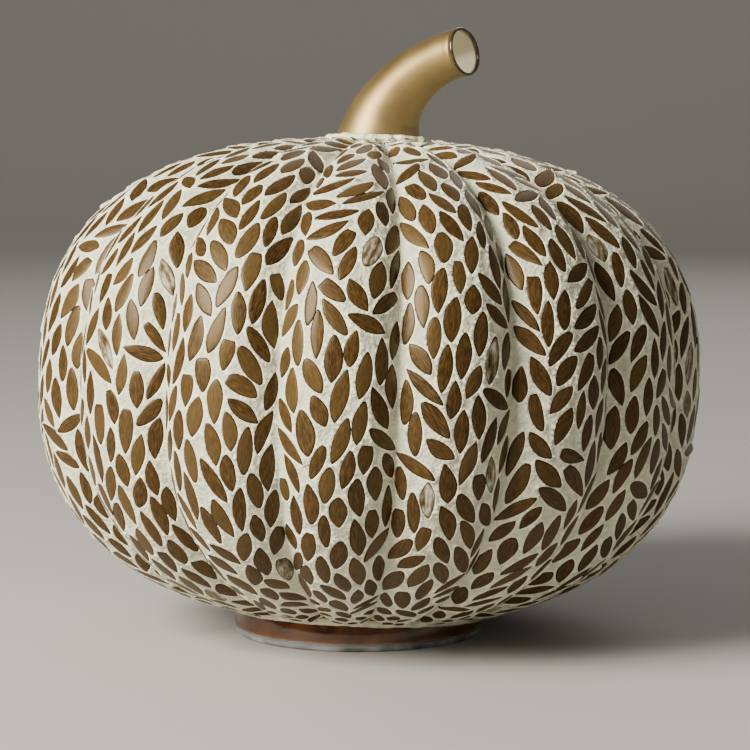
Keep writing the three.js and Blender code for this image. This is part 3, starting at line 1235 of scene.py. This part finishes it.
    def soften_seams(self, body: bpy.types.Object, plane: Array, triangles: Array) -> None:
        """Turns the normals along both grooves so that neighbouring ribs shade as one surface.

        Args:
            body: The grout.
            plane: Its outer points on the strip.
            triangles: Its outer faces.
        """
        count = len(plane)
        coordinates = np.empty(count * 6)
        body.data.vertices.foreach_get("co", coordinates)
        corners = coordinates.reshape(-1, 3)[triangles]
        facing = np.cross(corners[:, 1] - corners[:, 0], corners[:, 2] - corners[:, 0])
        outer = np.zeros((count, 3))
        for corner in range(3):
            np.add.at(outer, triangles[:, corner], facing)
        normals = np.empty(count * 6)
        body.data.vertex_normals.foreach_get("vector", normals)
        normals = normals.reshape(-1, 3)
        beside = np.abs(plane[:, 1]) > self.strip.half_width(plane[:, 0]) - 0.02
        bearing = np.where(plane[:, 1] < 0, self.strip.first, self.strip.second)
        across = np.stack([np.cos(bearing), np.sin(bearing), np.zeros(count)], -1)
        across = across @ np.array(self.shape.turn()).T
        level = outer - (outer * across).sum(axis=1, keepdims=True) * across
        level /= np.linalg.norm(level, axis=1, keepdims=True) + 1e-12
        level *= np.sign((level * normals[:count]).sum(axis=1, keepdims=True))
        normals[:count][beside] = level[beside]
        body.data.normals_split_custom_set_from_vertices(normals.tolist())

    def make(self) -> int:
        """Builds and dresses both pieces.

        Returns:
            The number of tiles.
        """
        node = f"mosaic_lobe_{self.lobe + 1:02d}"
        dress(self.tiles(), self.tile_material, Slot.LEAF, node)
        dress(self.grout(), self.grout_material, Slot.GROUT, node)
        return len(self.leaves.turns)


# ---------------------------------------------------------------------------------------------------------
# Glass globe, foot and beads
# ---------------------------------------------------------------------------------------------------------


@dataclass
class Globe:
    """The blown globe with its neck, behind the mosaic."""

    shape: BodyShape
    material: bpy.types.Material
    outside: float = 3.05
    wall: float = 3.0
    neck_radius: float = 54.6
    neck_bore: float = 51.0
    neck_end: float = 2.2
    neck_top: float = 10.7
    bore_top: float = 13.4
    hem_radius: float = 59.5
    columns: int = 12
    rows: int = 48

    def skin_rows(self, skin: float, bearing: Array, u: Array) -> list[Array]:
        """Rows of one skin from the pole down to the neck.

        Args:
            skin: Depth under the tiles.
            bearing: Bearings round the body.
            u: Places across the lobes.

        Returns:
            One array of points for each row.
        """
        bottom = self.shape.latitude_of(self.hem_radius, False)
        latitudes = np.linspace(math.radians(89.6), bottom, self.rows)
        return [self.shape.point(np.full(len(u), lat), bearing, u, skin) for lat in latitudes]

    def neck_row(self, radius: float, bearing: Array, height: float | None, level: float = 0.0) -> Array:
        """A round row of the neck.

        Args:
            radius: Its radius.
            bearing: Bearings round the body.
            height: Height in the body's frame, or None for a cut level with the table.
            level: Height of that cut over the table.

        Returns:
            The row's points.
        """
        x, y = radius * np.sin(bearing), -radius * np.cos(bearing)
        z = self.shape.level(x, y, level) if height is None else np.full(len(x), height)
        return np.stack([x, y, z], -1)

    def make(self) -> None:
        """Builds and dresses the globe."""
        places = np.linspace(-1, 1, self.columns, endpoint=False)
        grooves = [self.shape.groove_bearing(i) for i in range(self.shape.lobes + 1)]
        u = np.tile(places, self.shape.lobes)
        start = np.repeat(grooves[:-1], self.columns)
        width = np.repeat(np.diff(grooves), self.columns)
        bearing = start + width * (u + 1) / 2
        outer = self.skin_rows(self.outside, bearing, u)
        inner = self.skin_rows(self.outside + self.wall, bearing, u)
        neck = [
            self.neck_row(self.neck_radius, bearing, self.neck_top),
            self.neck_row(self.neck_radius, bearing, None, self.neck_end + 0.8),
            self.neck_row(self.neck_radius - 0.8, bearing, None, self.neck_end),
            self.neck_row(self.neck_bore + 0.8, bearing, None, self.neck_end),
            self.neck_row(self.neck_bore, bearing, None, self.neck_end + 0.8),
            self.neck_row(self.neck_bore, bearing, self.bore_top),
        ]
        loops = outer + neck + inner[::-1]
        around = len(bearing)
        faces = MeshCrew.ring_faces(len(loops), around, closed=False)
        points = np.concatenate(loops + [outer[0].mean(axis=0)[None], inner[0].mean(axis=0)[None]])
        crown, ceiling = len(points) - 2, len(points) - 1
        last = (len(loops) - 1) * around
        for i in range(around):
            j = (i + 1) % around
            faces.append((j, i, crown))
            faces.append((last + i, last + j, ceiling))
        globe = MeshCrew.build("blown_globe", self.shape.world(points), [f[::-1] for f in faces])
        dress(globe, self.material, Slot.AMBER, "glass_globe")


@dataclass
class Foot:
    """The clear foot ring and the hem of grout above it."""

    shape: BodyShape
    glass: bpy.types.Material
    grout: bpy.types.Material
    radius: float = 57.5
    bore: float = 50.5
    top: float = 9.8
    ledge: float = 1.8
    neck_radius: float = 54.45
    edge: float = 1.3
    around: int = 192

    def rounding(self, turn: float) -> tuple[float, float]:
        """A point of the ring's rounded edges.

        Args:
            turn: Radians round the edge, from the flat to the side.

        Returns:
            How far inside the radius and how far off the flat it lies.
        """
        return self.edge * (1 - math.cos(turn)), self.edge * (1 - math.sin(turn))

    def section(self) -> list[tuple[float, float, bool]]:
        """The ring's section.

        Returns:
            Radius, height, and whether the height is measured from the table.
        """
        marks = []
        for k in range(5):
            inset, drop = self.rounding(math.pi / 2 * k / 4)
            marks.append((self.radius - inset, self.top - drop, False))
        marks += [(self.neck_radius, self.top, False), (self.neck_radius, self.ledge, True)]
        marks += [(self.bore, self.ledge, True), (self.bore, 0.5, True), (self.bore + 0.5, 0.0, True)]
        for k in range(6):
            inset, drop = self.rounding(math.pi / 2 * (1 - k / 5))
            marks.append((self.radius - inset, drop, True))
        return marks

    def ring(self) -> bpy.types.Object:
        """Builds the foot ring.

        Returns:
            The piece.
        """
        bearing = np.linspace(0, 2 * math.pi, self.around, endpoint=False)
        loops = []
        for radius, height, from_table in self.section():
            x, y = radius * np.sin(bearing), -radius * np.cos(bearing)
            z = self.shape.level(x, y, height) if from_table else np.full(len(x), height)
            loops.append(np.stack([x, y, z], -1))
        faces = [f[::-1] for f in MeshCrew.ring_faces(len(loops), self.around)]
        return MeshCrew.build("clear_foot", self.shape.world(np.concatenate(loops)), faces)

    def hem(self) -> bpy.types.Object:
        """Builds the uneven hem of grout.

        Returns:
            The piece.
        """
        inner = self.radius + 0.25
        section = [(0.0, 7.8), (0.9, 7.5), (1.7, 8.0), (2.3, 8.9), (2.0, 10.7), (0.0, 10.7)]
        points = uneven_ring(section, inner, self.around, 0.8, 5.0, 0.9)
        faces = MeshCrew.ring_faces(len(section), self.around)
        # The hem's grout tone lies partway between the painted-shade hollow and the painted-highlight lip.
        traces = {Trace.LIP: np.full(len(points), 0.6)}
        return MeshCrew.build("hem_bead", self.shape.world(points), faces, traces)

    def make(self) -> None:
        """Builds and dresses both pieces."""
        dress(self.ring(), self.glass, Slot.CLEAR, "foot_ring")
        dress(self.hem(), self.grout, Slot.GROUT, "hem_grout_bead")


def uneven_ring(
    section: list[tuple[float, float]], inner: float, around: int, wander: float, run: float, hold: float
) -> Array:
    """Sweeps a hand-smeared section round the body's axis.

    Args:
        section: Distance outside the inner radius and height of each point.
        inner: The inner radius, which stays round.
        around: Points round the axis.
        wander: How far the free side strays.
        run: Length of one swell along the ring.
        hold: Share of the straying that moves heights too.

    Returns:
        Loops of points, one for each point of the section.
    """
    bearing = np.linspace(0, 2 * math.pi, around, endpoint=False)
    loops = []
    for out, height in section:
        circle = np.stack([np.sin(bearing), -np.cos(bearing)], -1) * inner
        swell = np.array([noise.noise(Vector((x / run, y / run, height / 9))) for x, y in circle])
        spots = [Vector((x / run * 3, y / run * 3, height / 3)) for x, y in circle]
        swell += 0.5 * np.array([noise.noise(spot) for spot in spots])
        free = min(out, 1.0)
        radius = inner + out + wander * swell * free * 2
        z = height + hold * wander * swell * free
        loops.append(np.stack([radius * np.sin(bearing), -radius * np.cos(bearing), z], -1))
    return np.concatenate(loops)


# ---------------------------------------------------------------------------------------------------------
# Stem
# ---------------------------------------------------------------------------------------------------------


@dataclass
class Stem:
    """The bent hollow stem with its dark lip, its grout bead and its adhesive."""

    shape: BodyShape
    gold: bpy.types.Material
    dark: bpy.types.Material
    grout: bpy.types.Material
    adhesive: bpy.types.Material
    base_drop: float = 1.95
    base_radius: float = 20.2
    tip_radius: float = 11.0
    base_wall: float = 2.4
    tip_wall: float = 1.4
    flare: float = 2.09
    bearing: float = 53.5
    run: float = 46.8
    rise: float = 41.9
    root: tuple[float, float] = (4.4, 0.52)
    shoulder: tuple[float, float] = (0.5, 0.89)
    lip_length: float = 1.5
    lip_points: int = 14
    bead_marks: tuple[tuple[float, float], ...] = (
        (0.0, -2.5), (1.3, -2.5), (2.0, -0.8), (2.9, -0.6), (3.0, 0.0),
        (2.5, 0.6), (1.8, 1.1), (0.9, 1.6), (0.0, 1.8),
    )
    bead_around: int = 160
    around: int = 96
    steps: int = 64

    def base(self) -> float:
        """Height of the stem's underside.

        Returns:
            Millimetres in the body's frame.
        """
        return self.shape.waist_height + self.shape.crown_rise - self.base_drop

    def line(self, along: float) -> tuple[Vector, Vector]:
        """A point of the bent centre line, as run and rise.

        Args:
            along: Place from 0 at the base to 1 at the tip.

        Returns:
            The point and the direction there.
        """
        first = Vector((self.root[0], self.root[1] * self.rise))
        second = Vector((self.shoulder[0] * self.run, self.shoulder[1] * self.rise))
        knots = [Vector((0, 0)), first, second, Vector((self.run, self.rise))]
        t, r = along, 1 - along
        point = knots[0] * r**3 + knots[1] * (3 * r * r * t) + knots[2] * (3 * r * t * t) + knots[3] * t**3
        legs = [end - start for start, end in zip(knots, knots[1:])]
        slope = legs[0] * (3 * r * r) + legs[1] * (6 * r * t) + legs[2] * (3 * t * t)
        return point, slope.normalized()

    def loop(self, along: float, radius: float, beyond: float = 0.0) -> Array:
        """A loop of points round the centre line.

        Args:
            along: Place along the stem.
            radius: Radius of the loop.
            beyond: How far past that place it stands.

        Returns:
            The points in the body's frame.
        """
        centre, slope = self.line(along)
        ease = min(max(along / 0.3, 0), 1)
        tilt = math.atan2(slope.x, slope.y) * ease * ease * (3 - 2 * ease)
        angle = np.linspace(0, 2 * math.pi, self.around, endpoint=False)
        x, y = radius * np.sin(angle), -radius * np.cos(angle)
        run = centre.x + x * math.cos(tilt) + beyond * math.sin(tilt)
        rise = centre.y - x * math.sin(tilt) + beyond * math.cos(tilt)
        heading = math.radians(self.bearing)
        forward = np.array([math.sin(heading), -math.cos(heading), 0.0])
        sideways = np.array([math.cos(heading), math.sin(heading), 0.0])
        upward = np.stack([0 * x, 0 * x, self.base() + rise], -1)
        return run[:, None] * forward + y[:, None] * sideways + upward

    def radius(self, along: float) -> float:
        """Outer radius of the stem.

        Args:
            along: Place along the stem.

        Returns:
            The radius, with a faint ring just behind the lip.
        """
        plain = self.tip_radius + (self.base_radius - self.tip_radius) * (1 - along) ** self.flare
        return plain + 0.22 * math.exp(-(((along - 0.975) / 0.008) ** 2))

    def bore(self, along: float) -> float:
        """Inner radius of the stem.

        Args:
            along: Place along the stem.

        Returns:
            The radius.
        """
        return self.radius(along) - self.base_wall + (self.base_wall - self.tip_wall) * along

    def tube(self) -> bpy.types.Object:
        """Builds the hollow stem, whose bore is painted paler on its lower side and glows more there, as
        painted light.

        Returns:
            The piece.
        """
        places = [k / self.steps for k in range(self.steps + 1)]
        outer = [self.loop(t, self.radius(t)) for t in places]
        inner = [self.loop(t, self.bore(t)) for t in places[::-1]]
        points = np.concatenate(outer + inner)
        faces = MeshCrew.ring_faces(len(outer) + len(inner), self.around)
        angle = np.linspace(0, 2 * math.pi, self.around, endpoint=False)
        # Painted light in the bore: the lower side gets the higher value, which the material turns paler and
        # brighter glowing.
        lower = 0.86 + 0.14 * np.tanh(5 * np.sin(angle))
        inside = np.concatenate([np.zeros(len(outer) * self.around), np.tile(lower, len(inner))])
        return MeshCrew.build("bent_stem", self.shape.world(points), faces, {Trace.RIM: inside})

    def lip(self) -> bpy.types.Object:
        """Builds the dark lip on the cut end.

        Returns:
            The piece.
        """
        outer, inner = self.tip_radius + 0.15, self.tip_radius - self.tip_wall + 0.2
        middle, half = (outer + inner) / 2, (outer - inner) / 2
        loops = []
        for k in range(self.lip_points):
            turn = 2 * math.pi * k / self.lip_points
            out = 0.3 + self.lip_length / 2 * (1 + math.sin(turn))
            loops.append(self.loop(1.0, middle + half * math.cos(turn), out))
        faces = MeshCrew.ring_faces(self.lip_points, self.around)
        return MeshCrew.build("dark_lip", self.shape.world(np.concatenate(loops)), faces)

    def bead(self) -> bpy.types.Object:
        """Builds the smeared bead of grout round the base.

        Returns:
            The piece.
        """
        crown = self.shape.waist_height + self.shape.crown_rise
        inner = self.base_radius + 0.05
        section = [(out, crown + height) for out, height in self.bead_marks]
        points = uneven_ring(section, inner, self.bead_around, 1.3, 4.5, 0.6)
        # The stem bead's grout tone is close to the painted-highlight lip colour.
        traces = {Trace.LIP: np.full(len(points), 0.9)}
        faces = MeshCrew.ring_faces(len(section), self.bead_around)
        return MeshCrew.build("stem_bead", self.shape.world(points), faces, traces)

    def make(self) -> None:
        """Builds and dresses the stem's pieces."""
        dress(self.tube(), self.gold, Slot.GOLD, "stem_tube")
        dress(self.lip(), self.dark, Slot.DARK, "stem_lip_wrap")
        dress(self.bead(), self.grout, Slot.GROUT, "stem_grout_bead")
        ring = frame["nodes"]["stem_adhesive"]
        ring.data.materials.clear()
        ring.data.materials.append(self.adhesive)
        log.info("stem_adhesive: carried over from the frame")


# ---------------------------------------------------------------------------------------------------------
# Studio
# ---------------------------------------------------------------------------------------------------------


@dataclass(frozen=True)
class Lamp:
    """A soft square lamp: its place in metres, its side, its power in watts and its colour."""

    name: str
    place: Triple
    size: float
    energy: float
    tone: Triple

    def hang(self) -> None:
        """Hangs the lamp so that it looks at the body."""
        data = bpy.data.lights.new(self.name, "AREA")
        data.size = self.size
        data.energy = self.energy
        data.color = self.tone
        lamp = bpy.data.objects.new(self.name, data)
        lamp.location = self.place
        lamp.rotation_euler = (Vector(LAMP_AIM) - lamp.location).to_track_quat("-Z", "Y").to_euler()
        bpy.context.scene.collection.objects.link(lamp)


@dataclass
class Studio:
    """A pale floor, soft lights and the camera."""

    distance: float = 1.40
    elevation: float = 6.17
    lens: float = 145.0
    target: Triple = (0.0035, 0.0, 0.1174)
    floor_tone: Triple = (0.42, 0.40, 0.38)
    floor_half: float = 7.0
    sweep_start: float = 2.6
    sweep_radius: float = 2.0
    sweep_end: float = 4.6
    sweep_height: float = 5.0
    world_tone: Triple = (0.88, 0.86, 0.82)
    world_strength: float = 0.21
    lamps: tuple[Lamp, ...] = (
        Lamp("key", (-1.3, -0.95, 1.1), 1.0, 106.0, (1.0, 0.97, 0.90)),
        Lamp("fill", (1.7, -1.3, 0.8), 1.4, 1.2, (0.95, 0.97, 1.0)),
        Lamp("rear", (0.5, 1.7, 1.3), 1.4, 9.0, (1.0, 0.98, 0.94)),
    )

    def camera(self) -> None:
        """Sets the camera."""
        data = bpy.data.cameras.new("camera")
        data.lens = self.lens
        data.clip_end = 20
        eye = bpy.data.objects.new("camera", data)
        tilt = math.radians(self.elevation)
        aim = Vector(self.target)
        eye.location = aim + Vector((0, -self.distance * math.cos(tilt), self.distance * math.sin(tilt)))
        eye.rotation_euler = (aim - eye.location).to_track_quat("-Z", "Y").to_euler()
        bpy.context.scene.collection.objects.link(eye)
        bpy.context.scene.camera = eye

    def floor(self) -> None:
        """Lays the pale floor, which sweeps up far behind the body."""
        bend = np.linspace(0, math.pi / 2, 13)
        sweep = self.sweep_start + self.sweep_radius * np.sin(bend)
        depth = np.concatenate([[-self.floor_half], sweep, [self.sweep_end]])
        rise = np.concatenate([[0.0], self.sweep_radius * (1 - np.cos(bend)), [self.sweep_height]])
        rows = len(depth)
        left = np.stack([np.full(rows, -self.floor_half), depth, rise], -1)
        right = left * (-1, 1, 1)
        faces = [(i, i + rows, i + rows + 1, i + 1) for i in range(rows - 1)]
        sheet = MeshCrew.build("floor", np.concatenate([left, right]), faces)
        bench = NodeBench("floor_paint")
        bench.set(Base_Color=(*self.floor_tone, 1.0), Roughness=0.7)
        sheet.data.materials.append(bench.material)

    def make(self) -> None:
        """Sets up the studio."""
        self.camera()
        self.floor()
        for lamp in self.lamps:
            lamp.hang()
        world = bpy.data.worlds.new("studio")
        world.use_nodes = True
        background = world.node_tree.nodes["Background"]
        background.inputs["Color"].default_value = (*self.world_tone, 1.0)
        background.inputs["Strength"].default_value = self.world_strength
        bpy.context.scene.world = world


def main() -> None:
    """Builds the whole pumpkin and its studio."""
    logging.basicConfig(level=logging.INFO, format="%(name)s: %(message)s")
    Studio().make()
    shape = BodyShape()
    grout = SandedGrout().make()
    tile = LeafGlass().make()
    amber = LustreGlass(
        "amber_lustre", light=(0.95, 0.36, 0.055), deep=(0.62, 0.19, 0.022),
        metallic=0.8, roughness=0.16, coat=0.6,
    ).make()
    gold = StemGlass().make()
    dark = LustreGlass(
        "dark_rim", light=(0.075, 0.035, 0.015), deep=(0.04, 0.018, 0.008),
        metallic=0.1, roughness=0.2, coat=0.6,
    ).make()
    Globe(shape, amber).make()
    Foot(shape, ClearGlass().make(), grout).make()
    Stem(shape, gold, dark, grout, SetAdhesive().make()).make()
    setter = LeafSetter()
    total = sum(MosaicRib(shape, lobe, setter, tile, grout).make() for lobe in range(shape.lobes))
    log.info("%d leaf tiles in all", total)


if __name__ == "__main__":
    main()
